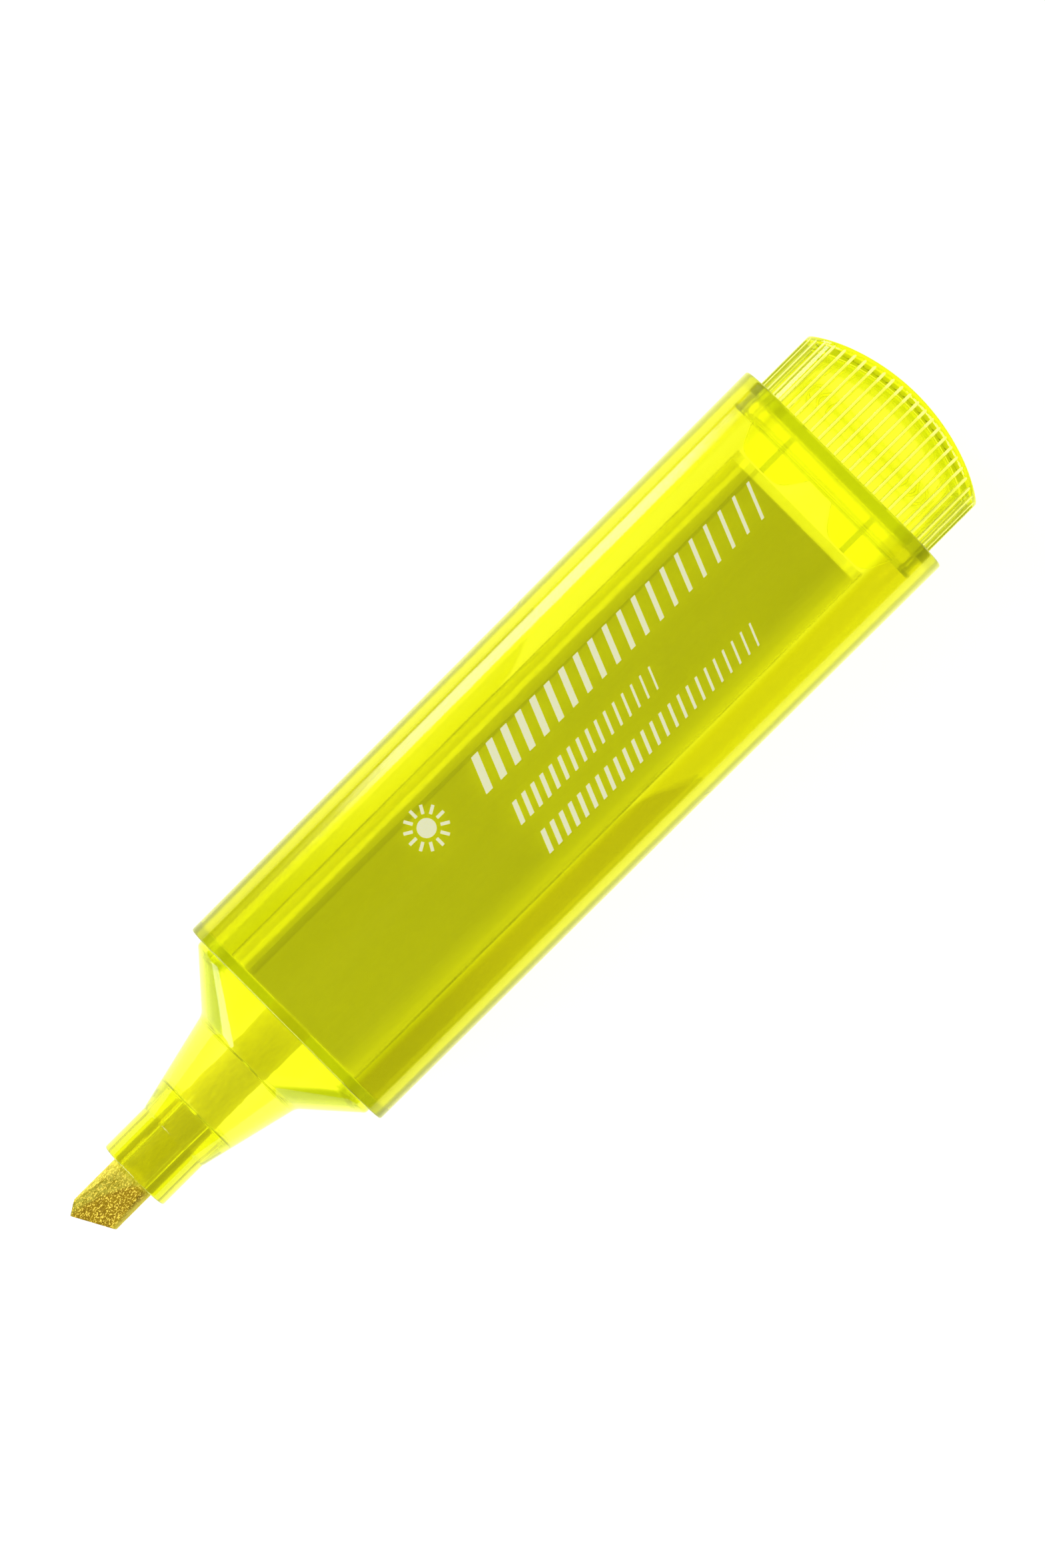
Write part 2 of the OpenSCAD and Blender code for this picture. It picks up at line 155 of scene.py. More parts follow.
# Material slots of the plug's ribs, and the size under which an edge is a leftover
CROWN_SLOT, FLANK_SLOT = 1, 2
SLIVER = 2e-4

# ---------------------------------------------------------------- colours and other looks

WHITE = (1, 1, 1)
# Emission colour of a painted glow that stands in for the plastic's fluorescence.
FLUORESCENCE_PAINTED_GLOW = (0.98, 1.0, 0.04)
TINT = (0.99, 0.985, 0.5)
DEEP_TINT = (0.95, 0.95, 0.35)
BODY_TINT = (0.96, 0.966, 0.35)
# Tints of painted shade on the mouldings, down to the plug's sides.
NOZZLE_PAINTED_SHADE = (0.93, 0.91, 0.40)
NOZZLE_SIDE_PAINTED_SHADE = (0.74, 0.75, 0.25)
SHOULDER_PAINTED_SHADE = (0.66, 0.72, 0.10)
DOME_EDGE_PAINTED_SHADE = (0.76, 0.81, 0.15)
FRONT_PAINTED_SHADE = (0.92, 0.93, 0.20)
FRONT_RIM_PAINTED_SHADE = (0.64, 0.68, 0.12)
REAR_RIM_PAINTED_SHADE = (0.80, 0.83, 0.3)
SEAL_AND_COLLAR_PAINTED_SHADE = (0.85, 0.88, 0.4)
BAR_PAINTED_SHADE = (0.90, 0.92, 0.55)
SIDE_PAINTED_SHADE = (0.86, 0.835, 0.12)
PLUG_SIDE_PAINTED_SHADE = (0.86, 0.88, 0.25)
# Painted highlight on the ribs' crowns and painted shade on their flanks.
RIB_CROWN_PAINTED_HIGHLIGHT = (1.0, 1.0, 0.22)
RIB_FLANK_PAINTED_SHADE = (0.74, 0.78, 0.08)
DEPTH_SOFT = 0.5
PLASTIC_IOR = 1.49
CLEAR_SHARE = 0.98


# ---------------------------------------------------------------- shape tools


def section(station, arc_steps, flat_steps=1):
    """Closed loop of points round a station."""
    x, half_w, half_t, corner = station
    points = []
    for quarter in range(4):
        side_y = 1 if quarter in (0, 3) else -1
        side_z = 1 if quarter < 2 else -1
        for step in range(arc_steps + 1):
            angle = (quarter + step / arc_steps) * math.pi / 2
            y = side_y * (half_w - corner) + corner * math.cos(angle)
            z = MID_Z + side_z * (half_t - corner) + corner * math.sin(angle)
            points.append(Vector((x, y, z)))
        if quarter % 2 == 0:
            start = points[-1]
            end = Vector((x, -start.y, start.z))
            points += [start.lerp(end, step / flat_steps) for step in range(1, flat_steps)]
    return points


def round_station(x, radius):
    """Station whose section is a circle."""
    return (x, radius, radius, radius)


def softened(path, radii, closed=True, steps=4):
    """Path of stations with each corner that has a radius replaced by a short curve."""
    last = len(path) - 1
    out = []
    for i, (here, radius) in enumerate(zip(path, radii)):
        if radius <= 0 or (not closed and i in (0, last)):
            out.append(tuple(here))
            continue
        ends = []
        for other in (path[i - 1], path[(i + 1) % len(path)]):
            reach = math.hypot(other[0] - here[0], other[1] - here[1])
            share = min(radius / max(reach, 1e-6), 0.45)
            ends.append([h + (o - h) * share for h, o in zip(here, other)])
        for step in range(steps + 1):
            t = step / steps
            weights = ((1 - t) ** 2, 2 * t * (1 - t), t * t)
            trios = zip(ends[0], here, ends[1])
            out.append(tuple(sum(w * v for w, v in zip(weights, trio)) for trio in trios))
    return out


def with_steps(stations, longest):
    """Adds stations so that no step along X is longer than a limit."""
    out = [stations[0]]
    for before, after in zip(stations, stations[1:]):
        count = max(1, math.ceil(abs(after[0] - before[0]) / longest))
        for step in range(1, count + 1):
            out.append(tuple(b + (a - b) * step / count for b, a in zip(before, after)))
    return out


def solid_from_rings(name, rings, closed):
    """Skins a list of equal rings. An open list ends in rings that have shrunk to a point."""
    build = bmesh.new()
    rows = [[build.verts.new(point) for point in ring] for ring in rings]
    pairs = list(zip(rows, rows[1:]))
    if closed:
        pairs.append((rows[-1], rows[0]))
    for first, second in pairs:
        for i in range(len(first)):
            j = (i + 1) % len(first)
            build.faces.new((first[i], first[j], second[j], second[i]))
    bmesh.ops.remove_doubles(build, verts=build.verts, dist=1e-4)
    bmesh.ops.dissolve_degenerate(build, edges=build.edges, dist=1e-5)
    bmesh.ops.recalc_face_normals(build, faces=build.faces)
    return object_from(name, build)


def pull_in(point, amount, least):
    """Moves a point towards the centre line, if it is farther from that than a least distance."""
    radial = Vector((0, point.y, point.z - MID_Z))
    if radial.length > least:
        point -= radial.normalized() * amount


def object_from(name, build):
    """New scene object holding a finished bmesh."""
    mesh = bpy.data.meshes.new(name)
    build.to_mesh(mesh)
    build.free()
    piece = bpy.data.objects.new(name, mesh)
    bpy.context.scene.collection.objects.link(piece)
    return piece


def skin(build, rows):
    """Joins rows of vertices into a closed solid; gives back its side faces, a list for each place round."""
    strips = [[] for _ in rows[0]]
    for first, second in zip(rows, rows[1:]):
        for i in range(len(first)):
            j = (i + 1) % len(first)
            strips[i].append(build.faces.new((first[i], first[j], second[j], second[i])))
    build.faces.new(rows[0][::-1])
    build.faces.new(rows[-1])
    return strips


def rounded_outline(points, radii, steps=5):
    """Flat outline with its corners rounded, as a list of (x, y)."""
    padded = [(x, y, 0.0, 0.0) for x, y in points]
    return [(station[0], station[1]) for station in softened(padded, radii, True, steps)]


def slab(build, outline, z_low, z_high, edge):
    """Adds a flat plate of a given outline, with softened edges, to a bmesh."""
    levels = [(z_low, edge), (z_low + edge, 0), (z_high - edge, 0), (z_high, edge)]
    centre = Vector((sum(p[0] for p in outline), sum(p[1] for p in outline))) / len(outline)
    rows = []
    for z, inset in levels:
        row = []
        for x, y in outline:
            away = Vector((x, y)) - centre
            pulled = away * (1 - inset / max(away.length, edge * 2))
            row.append(build.verts.new((centre.x + pulled.x, centre.y + pulled.y, z)))
        rows.append(row)
    skin(build, rows)
    bmesh.ops.recalc_face_normals(build, faces=build.faces)


def block(build, low, high, edge):
    """Adds a box with bevelled edges to a bmesh."""
    made = bmesh.ops.create_cube(build, size=1.0)["verts"]
    for vert in made:
        vert.co = Vector([l + (h - l) * (c + 0.5) for l, h, c in zip(low, high, vert.co)])
    edges = list(dict.fromkeys(edge for vert in made for edge in vert.link_edges))
    bmesh.ops.bevel(build, geom=edges, offset=edge, segments=2, affect="EDGES", profile=0.5)


def merged(base, build):
    """Joins the solids of a bmesh to an object as one closed skin, keeping the slots of its faces."""
    extra = object_from("extra", build)
    for mesh in (base.data, extra.data):
        while len(mesh.materials) <= FLANK_SLOT:
            mesh.materials.append(None)
    modifier = base.modifiers.new("join", "BOOLEAN")
    modifier.operation = "UNION"
    modifier.solver = "EXACT"
    modifier.object = extra
    graph = bpy.context.evaluated_depsgraph_get()
    joined = bpy.data.meshes.new_from_object(base.evaluated_get(graph), depsgraph=graph)
    clean = bmesh.new()
    clean.from_mesh(joined)
    bmesh.ops.remove_doubles(clean, verts=clean.verts, dist=SLIVER)
    bmesh.ops.dissolve_degenerate(clean, edges=clean.edges, dist=SLIVER)
    clean.to_mesh(joined)
    clean.free()
    base.modifiers.remove(modifier)
    base.data = joined
    bpy.data.objects.remove(extra)


def finished(piece, materials, body, node, sharp_degrees=32):
    """Turns a piece into metres, shades it, and hands it to the frame."""
    mesh = piece.data
    mesh.transform(Matrix.Scale(MM, 4))
    mesh.polygons.foreach_set("use_smooth", [True] * len(mesh.polygons))
    mesh.set_sharp_from_angle(angle=math.radians(sharp_degrees))
    used = [0] * len(mesh.polygons)
    mesh.polygons.foreach_get("material_index", used)
    mesh.materials.clear()
    for material in materials:
        mesh.materials.append(material)
    last = len(materials) - 1
    mesh.polygons.foreach_set("material_index", [min(index, last) for index in used])
    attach(piece, body)
    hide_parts(node)


# ---------------------------------------------------------------- barrel


def barrel_half_w(x):
    """Half the barrel's width at a place along it."""
    share = (x - FRONT_RIM) / (REAR_RIM - FRONT_RIM)
    return FRONT_HALF_W + (REAR_HALF_W - FRONT_HALF_W) * share


def barrel_station(x, inset):
    """Station of the barrel's outside, or of one inside it."""
    return (x, barrel_half_w(x) - inset, HALF_T - inset, BARREL_CORNER - inset)


def barrel_fins():
    """Two fins on each side wall, which centre the reservoir and run out into the wall at the rear."""
    build = bmesh.new()
    front = FLANGE_REAR + 0.02
    full = front + FIN_L
    end = full + FIN_RUNOUT
    for side in (-1, 1):
        root = side * (barrel_half_w(front) - BARREL_WALL / 2)
        tip = side * (core_high[1] + FIN_GAP)
        wall = side * (barrel_half_w(end) - BARREL_WALL)
        outline = [(front, root), (front, tip), (full, tip), (end, wall), (end, root)]
        outline = rounded_outline(outline, [0, 0.3, 3.0, 0.5, 0])
        for level in (MID_Z - FIN_LEVEL, MID_Z + FIN_LEVEL):
            slab(build, outline, level - FIN_THICK / 2, level + FIN_THICK / 2, 0.08)
    return build


def make_barrel():
    """Tube of rounded oblong section, open at both ends, with its fins."""
    path = [
        barrel_station(FRONT_RIM, 0),
        barrel_station(REAR_RIM, 0),
        barrel_station(REAR_RIM, BARREL_WALL),
        barrel_station(FRONT_RIM, BARREL_WALL),
    ]
    rings = [section(station, 16) for station in softened(path, [0.25, 0.3, 0.2, 0.15], steps=5)]
    barrel = solid_from_rings("barrel_shell", rings, closed=True)
    merged(barrel, barrel_fins())
    return barrel


# ---------------------------------------------------------------- nose section


def make_nose():
    """Hollow nose: flange and ledge in the barrel's mouth, shoulder, cone, and nozzle with a bore."""
    slope = (CONE_R - CONE_FRONT_R) / (CONE_REAR - NOZZLE_REAR)
    floor_r = CONE_FRONT_R + slope * (CONE_FLOOR - NOZZLE_REAR) - CONE_WALL - 0.02
    hollow = (LEDGE_HALF_W - NOSE_WALL, LEDGE_HALF_T - NOSE_WALL, LEDGE_CORNER - NOSE_WALL)
    path = [
        (FLANGE_REAR, LEDGE_HALF_W + 0.06, LEDGE_HALF_T + 0.03, LEDGE_CORNER - 0.35),
        (FRONT_RIM, LEDGE_HALF_W + 0.04, LEDGE_HALF_T + 0.02, LEDGE_CORNER - 0.2),
        (LEDGE_FRONT, LEDGE_HALF_W, LEDGE_HALF_T, LEDGE_CORNER),
        round_station(CONE_REAR, CONE_R),
        round_station(NOZZLE_REAR, CONE_FRONT_R - 0.03),
        round_station(NOZZLE_REAR - 0.15, NOZZLE_R),
        round_station(NOZZLE_TIP, NOZZLE_R),
        round_station(NOZZLE_TIP, NIB_HOLE_R),
        round_station(CONE_FLOOR, NIB_HOLE_R),
        round_station(CONE_FLOOR, floor_r),
        round_station(CONE_REAR - 0.2, CONE_R - CONE_WALL),
        round_station(CONE_REAR, CONE_R - CONE_WALL - 0.4),
        (LEDGE_FRONT - 0.1, *hollow),
        (FLANGE_REAR, *hollow),
    ]
    radii = [0.12, 0, 0.2, 0.5, 0.1, 0.1, 0.28, 0.15, 0.1, 0.3, 0.1, 0.1, 0.4, 0.1]
    rings = [section(station, 40) for station in softened(path, radii)]
    for ring in rings:
        cut_vents(ring)
    return solid_from_rings("nose_moulding", rings, closed=True)


def cut_vents(ring):
    """Pushes the bore's wall outwards into vent grooves, in rings that lie in the bore."""
    spacing = 2 * math.pi / VENT_COUNT
    for point in ring:
        radial = Vector((0, point.y, point.z - MID_Z))
        if radial.length > NIB_HOLE_R + 0.01:
            continue
        angle = math.atan2(radial.z, radial.y)
        off = (angle + spacing / 2) % spacing - spacing / 2
        reach = abs(off) * NIB_HOLE_R
        if reach < VENT_R:
            radial *= 1 + math.sqrt(VENT_R**2 - reach**2) / NIB_HOLE_R
            point.y = radial.y
            point.z = MID_Z + radial.z


# ---------------------------------------------------------------- end plug


def dome_x(y, less=0.0):
    """Place of the dome's surface, or of one inside it, at a distance from the centre line."""
    return DOME_TOP - DOME_R + math.sqrt((DOME_R - less) ** 2 - y * y)


def grip_ring(growth):
    """Ring of the grip's section grown by a distance; its places along X are set later."""
    return section((0, *(size + growth for size in GRIP)), PLUG_ARC, PLUG_FLAT)


def domed_rings(x_start, less, fillet, rise):
    """Rings from a straight-sided start to the middle of the domed end.

    less is how far the skin lies inside the grip's outside, and rise how far the band round the dome's
    edge stands out from it.
    """
    fillet_steps, cap_steps = 5, 8
    levels = [(share, BAND_DEPTH + rise, 0) for share in (0, 0.5, 1)]
    if rise > 0:
        levels.append((1, BAND_DEPTH, rise * 0.85))
        levels.append((1, BAND_DEPTH - rise / 2, rise))
    rings = []
    for share, below, out in levels:
        ring = grip_ring(out - less)
        for point in ring:
            point.x = x_start + (dome_x(point.y, less) - below - x_start) * share
        rings.append(ring)
    for step in range(fillet_steps + 1):
        turn = step / fillet_steps * math.pi / 2
        ring = grip_ring(rise - less - fillet * (1 - math.cos(turn)))
        for point in ring:
            point.x = dome_x(point.y, less) - fillet * (1 - math.sin(turn))
        rings.append(ring)
    edge = rings[-1]
    for step in range(1, cap_steps + 1):
        keep = 1 - step / cap_steps
        ring = [Vector((0, p.y * keep, MID_Z + (p.z - MID_Z) * keep)) for p in edge]
        for point in ring:
            point.x = dome_x(point.y, less)
        rings.append(ring)
    return rings


def make_plug():
    """Domed plug: ribbed grip outside, collar with a seal bead, tongues and webs inside the barrel."""
    neck = [size - SEAL_HEIGHT for size in COLLAR]
    collar_path = [
        (SEAL_FRONT, *(size - PLUG_WALL for size in GRIP)),
        (SEAL_FRONT, *COLLAR),
        (SEAL_REAR, *COLLAR),
        (SEAL_REAR, *neck),
        (COLLAR_BAND, *neck),
        (COLLAR_BAND, *COLLAR),
        (COLLAR_REAR, *COLLAR),
        (COLLAR_REAR, *GRIP),
    ]
    stations = softened(collar_path, [0.15, 0.2, 0.2, 0.1, 0.1, 0.2, 0.12, 0], closed=False)
    collar = [section(station, PLUG_ARC, PLUG_FLAT) for station in stations]
    inner = domed_rings(SEAL_FRONT, PLUG_WALL, fillet=0.5, rise=0)[::-1]
    outer = domed_rings(COLLAR_REAR, 0, fillet=0.14, rise=RIB_HEIGHT)
    plug = solid_from_rings("plug_moulding", inner[:-1] + collar[:-1] + outer, closed=False)
    merged(plug, grip_ribs())
    merged(plug, tongues())
    merged(plug, webs_and_bars())
    return plug


def grip_places():
    """Place and outward direction of each grip rib, as (y, z, angle), at the grip's own surface."""
    flat_half = GRIP_HALF_W - GRIP_CORNER
    side_half = GRIP_HALF_T - GRIP_CORNER
    places = []
    for face in (1, -1):
        for i in range(RIBS_ON_FLAT):
            y = flat_half * (2 * (i + 0.5) / RIBS_ON_FLAT - 1)
            places.append((y, face * GRIP_HALF_T, face * math.pi / 2))
        for i in range(RIBS_ON_SIDE):
            z = side_half * (2 * (i + 0.5) / RIBS_ON_SIDE - 1)
            places.append((face * GRIP_HALF_W, z, 0 if face > 0 else math.pi))
    for quarter in range(4):
        side_y = 1 if quarter in (0, 3) else -1
        side_z = 1 if quarter < 2 else -1
        for i in range(RIBS_ON_CORNER):
            angle = (quarter + (i + 0.5) / RIBS_ON_CORNER) * math.pi / 2
            y = side_y * flat_half + GRIP_CORNER * math.cos(angle)
            z = side_z * side_half + GRIP_CORNER * math.sin(angle)
            places.append((y, z, angle))
    return places


def grip_ribs():
    """Rounded ribs along the grip, each running into the band round the dome's edge."""
    steps = 8
    half_width = RIB_WIDTH / 2
    start = REAR_RIM + RIB_START
    build = bmesh.new()
    for y, z, angle in grip_places():
        outward = Vector((0, math.cos(angle), math.sin(angle)))
        across = Vector((0, -math.sin(angle), math.cos(angle)))
        end = dome_x(y) - BAND_DEPTH * 0.8
        rows = []
        for share in (0, 0.5, 1):
            centre = Vector((start + (end - start) * share, y, MID_Z + z))
            row = []
            for step in range(steps + 1):
                turn = math.pi * step / steps
                height = RIB_HEIGHT * math.sin(turn) ** 0.6
                row.append(centre + across * (half_width * math.cos(turn)) + outward * height)
            row.append(centre - across * half_width - outward * RIB_SUNK)
            row.append(centre + across * half_width - outward * RIB_SUNK)
            rows.append([build.verts.new(point) for point in row])
        # Crown faces take the painted highlight material, the flanks the painted shade one.
        for i, faces in enumerate(skin(build, rows)[:steps]):
            for face in faces:
                face.material_index = CROWN_SLOT if 2 <= i < steps - 2 else FLANK_SLOT
    bmesh.ops.recalc_face_normals(build, faces=build.faces)
    return build


def tongues():
    """Two tapered tongues on each flat side, kept under the bore's rounded corners."""
    build = bmesh.new()
    root = SEAL_FRONT + 0.3
    for side in (-1, 1):
        outline = [
            (root, side * TONGUE_ROOT_FAR),
            (SEAL_FRONT, side * TONGUE_ROOT_FAR),
            (TONGUE_END, side * TONGUE_TIP_FAR),
            (TONGUE_END, side * TONGUE_TIP_NEAR),
            (SEAL_FRONT, side * TONGUE_ROOT_NEAR),
            (root, side * TONGUE_ROOT_NEAR),
        ]
        outline = rounded_outline(outline, [0, 0.6, 1.1, 1.1, 0.4, 0])
        upper = MID_Z + COLLAR_HALF_T - TONGUE_THICK - TONGUE_INSET
        lower = MID_Z - COLLAR_HALF_T + TONGUE_INSET
        for z_low in (upper, lower):
            slab(build, outline, z_low, z_low + TONGUE_THICK, 0.08)
    return build


def webs_and_bars():
    """A web across each pair of tongues, and a low bar inside the grip on each flat side."""
    build = bmesh.new()
    reach = COLLAR_HALF_T - WEB_INSET
    for side in (-1, 1):
        low = (TONGUE_END + 0.05, side * WEB_Y - WEB_THICK / 2, MID_Z - reach)
        high = (WEB_REAR, side * WEB_Y + WEB_THICK / 2, MID_Z + reach)
        block(build, low, high, 0.08)
    for side in (-1, 1):
        soft_bar(build, side)
    bmesh.ops.recalc_face_normals(build, faces=build.faces)
    return build


def soft_bar(build, side):
    """Low soft-edged bar across the inside of the grip, on one flat side."""
    half_count, steps, sunk = 8, 16, 0.4
    wall = GRIP_HALF_T - PLUG_WALL
    rows = []
    for place in range(-half_count, half_count + 1):
        y = BAR_HALF_W * place / half_count
        share = min(1, (half_count - abs(place)) / 3 + 0.02)
        row = []
        for step in range(steps + 1):
            turn = 2 * math.pi * step / steps
            lift = BAR_HEIGHT * share * (0.5 - 0.5 * math.cos(turn)) + 0.001
            x = BAR_START + (BAR_END - BAR_START) * step / steps
            row.append(Vector((x, y, MID_Z + side * (wall - lift))))
        row.append(Vector((BAR_END, y, MID_Z + side * (wall + sunk))))
        row.append(Vector((BAR_START, y, MID_Z + side * (wall + sunk))))
        rows.append([build.verts.new(point) for point in row])
    skin(build, rows)


# ---------------------------------------------------------------- reservoir


def make_core():
    """Fibre bar with a socket for the nib's tail in its front end."""
    half_w = core_high[1]
    half_t = (core_high[2] - core_low[2]) / 2
    front, rear = core_low[0], core_high[0]
    pocket = nib_high[0] + 0.02
    path = [
        round_station(pocket, 0),
        round_station(pocket, NIB_HOLE_R - 1),
        round_station(pocket - NIB_TAPER, NIB_HOLE_R),
        round_station(front, NIB_HOLE_R),
        (front, half_w, half_t, CORE_CORNER),
        (rear, half_w, half_t, CORE_CORNER),
        round_station(rear, 0),
    ]
    stations = softened(path, [0, 0.1, 0.1, 0.2, 0.3, 0.35, 0], closed=False)
    rings = [section(station, 12, 20) for station in with_steps(stations, 1.0)]
    for ring in rings:
        for point in ring:
            roughen(point, depth=0.06, along=0.35, across=1.6)
    return solid_from_rings("reservoir_fibre", rings, closed=False)


def roughen(point, depth, along, across):
    """Pulls a point in towards the centre line by smooth noise, stretched along X."""
    place = Vector((point.x * along, point.y * across, point.z * across))
    amount = depth * (0.5 + 0.5 * noise.noise(place))
    pull_in(point, amount, amount)


def make_film():
    """Thin sleeve round the fibre bar, longer than it at the rear, with a wavy lap seam on top."""
    front, rear = film_low[0], film_high[0]
    outer = (film_high[1], FILM_HALF_T, FILM_CORNER)
    inner = [size - FILM_THICK for size in outer]
    path = [(front, *outer), (rear, *outer), (rear, *inner), (front, *inner), (front, *outer)]
    rings = [section(station, 12, 12) for station in with_steps(path, 2.0)[:-1]]
    film = solid_from_rings("reservoir_sleeve", rings, closed=True)
    lap = bmesh.new()
    lap_front, lap_rear = front + 0.05, rear - 0.05
    outline = [(lap_front, LAP_NEAR_Y), (lap_rear, LAP_NEAR_Y)]
    for step in range(13):
        share = step / 12
        x = lap_rear - (lap_rear - lap_front) * share
        outline.append((x, LAP_FAR_Y - LAP_WAVE * math.sin(share * 5)))
    top = MID_Z + FILM_HALF_T
    slab(lap, outline, top - 0.05, top + 0.06, 0.01)
    merged(film, lap)
    return film


# ---------------------------------------------------------------- nib


def nib_cut_x(y):
    """Where the nib ends, at a distance from its centre line: a slanted edge with one corner cut off."""
    tip_x = nib_low[0]
    if y <= NIB_POINT_Y:
        return tip_x + (NIB_POINT_Y - y) * NIB_SLANT
    return tip_x + (y - NIB_POINT_Y) * NIB_BEVEL


def nib_point(x_nominal, y, z):
    """Point of the bar's skin, moved back behind the slanted edge and in under the two wedge facets."""
    tip_x = nib_low[0]
    zone_end = tip_x + NIB_ZONE
    share = max(0.0, (zone_end - x_nominal) / NIB_ZONE)
    x = x_nominal if share == 0 else zone_end + (nib_cut_x(y) - zone_end) * share
    limit = NIB_EDGE_HALF + (x - tip_x) * NIB_WEDGE
    return Vector((x, y, MID_Z + max(-limit, min(limit, z))))


def make_nib():
    """Round fibre bar with two wedge facets and a slanted writing edge."""
    around, zone_steps, straight_steps, cap_steps = 120, 110, 30, 14
    tip_x, tail = nib_low[0], nib_high[0]
    zone_end = tip_x + NIB_ZONE
    straight = tail - NIB_TAPER - zone_end
    angles = [2 * math.pi * i / around for i in range(around)]
    circle = [(NIB_R * math.cos(angle), NIB_R * math.sin(angle)) for angle in angles]
    stations = [tip_x + NIB_ZONE * step / zone_steps for step in range(zone_steps + 1)]
    stations += [zone_end + straight * step / straight_steps for step in range(1, straight_steps + 1)]
    rows = [[nib_point(x, y, z) for y, z in circle] for x in stations]
    caps = []
    for step in range(1, cap_steps + 1):
        keep = 1 - step / cap_steps
        ring = []
        for y, z in circle:
            y = NIB_POINT_Y * (1 - keep) + y * keep
            z = max(-NIB_EDGE_HALF, min(NIB_EDGE_HALF, z)) * keep
            ring.append(Vector((nib_cut_x(y), y, MID_Z + z)))
        caps.append(ring)
    for keep in (NIB_TAIL_SHARE, 0):
        rows.append([Vector((tail, y * keep, MID_Z + z * keep)) for y, z in circle])
    rings = caps[::-1] + rows
    for ring in rings:
        for point in ring:
            fray(point)
    return solid_from_rings("nib_fibre_bar", rings, closed=False)


def fray(point):
    """Small dents between fibres, long on the bar's sides, and broader wet dents inside the nose."""
    fine = noise.noise(Vector((point.x * 1.2, point.y * 9, point.z * 9)))
    coarse = noise.noise(point * 5 + Vector((7, 3, 1)))
    depth = FINE_DENT * (0.5 - 0.5 * fine) + COARSE_DENT * (0.5 - 0.5 * coarse)
    if NOZZLE_REAR < point.x < FRONT_RIM:
        swell = math.sin((point.x - NOZZLE_REAR) / (FRONT_RIM - NOZZLE_REAR) * math.pi)
        depth += WET_DENT * swell * (0.5 + 0.5 * noise.noise(point * 0.9))
    pull_in(point, depth, WET_DENT)


# ---------------------------------------------------------------- node tools


def start_material(name):
    """New material, with its node tree and its shader."""
    material = bpy.data.materials.new(name)
    material.use_nodes = True
    tree = material.node_tree
    return material, tree, tree.nodes["Principled BSDF"]


def add_node(tree, kind, **settings):
    """New node with its settings."""
    node = tree.nodes.new(kind)
    for key, value in settings.items():
        setattr(node, key, value)
    return node


def feed(tree, socket, value):
    """Links another socket to a socket, or sets a plain value on it."""
    if isinstance(value, bpy.types.NodeSocket):
        tree.links.new(value, socket)
    else:
        socket.default_value = value


def add_noise(tree, scale, detail=3.0, stretch=(1, 1, 1), roughness=0.5):
    """Noise in the object's own space; scale is in cycles a metre."""
    place = add_node(tree, "ShaderNodeTexCoord")
    mapping = add_node(tree, "ShaderNodeMapping")
    mapping.inputs["Scale"].default_value = stretch
    texture = add_node(tree, "ShaderNodeTexNoise")
    texture.inputs["Scale"].default_value = scale
    texture.inputs["Detail"].default_value = detail
    texture.inputs["Roughness"].default_value = roughness
    tree.links.new(place.outputs["Object"], mapping.inputs["Vector"])
    tree.links.new(mapping.outputs["Vector"], texture.inputs["Vector"])
    return texture.outputs["Fac"]


def add_ramp(tree, value, stops):
    """Colour ramp over a value; stops are (place, colour)."""
    ramp = add_node(tree, "ShaderNodeValToRGB")
    elements = ramp.color_ramp.elements
    while len(elements) < len(stops):
        elements.new(0.5)
    for element, (place, colour) in zip(elements, stops):
        element.position = place
        element.color = (*colour, 1)
    tree.links.new(value, ramp.inputs["Fac"])
    return ramp.outputs["Color"]


def add_range(tree, value, low, high):
    """Value from 0 to 1 spread between two others."""
    spread = add_node(tree, "ShaderNodeMapRange")
    spread.inputs["To Min"].default_value = low
    spread.inputs["To Max"].default_value = high
    tree.links.new(value, spread.inputs["Value"])
    return spread.outputs["Result"]


def add_rise(tree, value, start, end, smooth=True):
    """Value that goes from 0 to 1 between two values, smoothly or in a straight line."""
    kind = "SMOOTHSTEP" if smooth else "LINEAR"
    rise = add_node(tree, "ShaderNodeMapRange", interpolation_type=kind)
    rise.inputs["From Min"].default_value = start
    rise.inputs["From Max"].default_value = end
    tree.links.new(value, rise.inputs["Value"])
    return rise.outputs["Result"]


def add_math(tree, operation, *values):
    """Math node; each value may be a socket or a number."""
    node = add_node(tree, "ShaderNodeMath", operation=operation)
    for socket, value in zip(node.inputs, values):
        feed(tree, socket, value)
    return node.outputs["Value"]


def mix_colours(tree, factor, first, second, blend="MIX"):
    """Mixes two colours; each of the three may be a socket or a plain value."""
    node = add_node(tree, "ShaderNodeMix", data_type="RGBA", blend_type=blend)
    colours = [socket for socket in node.inputs if socket.type == "RGBA"]
    feed(tree, node.inputs["Factor"], factor)
    feed(tree, colours[0], first)
    feed(tree, colours[1], second)
    return next(socket for socket in node.outputs if socket.type == "RGBA")


def tinted(tree, colour, tint):
    """One colour multiplied by another."""
    return mix_colours(tree, 1.0, colour, tint, "MULTIPLY")


def add_bump(tree, shader, height, strength, distance):
    """Bump on a shader, from a height."""
    bump = add_node(tree, "ShaderNodeBump")
    bump.inputs["Strength"].default_value = strength
    bump.inputs["Distance"].default_value = distance
    tree.links.new(height, bump.inputs["Height"])
    tree.links.new(bump.outputs["Normal"], shader.inputs["Normal"])


# ---------------------------------------------------------------- places on the pen, for materials


def object_axis(tree, axis):
    """Place along one axis of the object's own space, in metres."""
    place = add_node(tree, "ShaderNodeTexCoord")
    split = add_node(tree, "ShaderNodeSeparateXYZ")
    tree.links.new(place.outputs["Object"], split.inputs["Vector"])
    return split.outputs[axis]


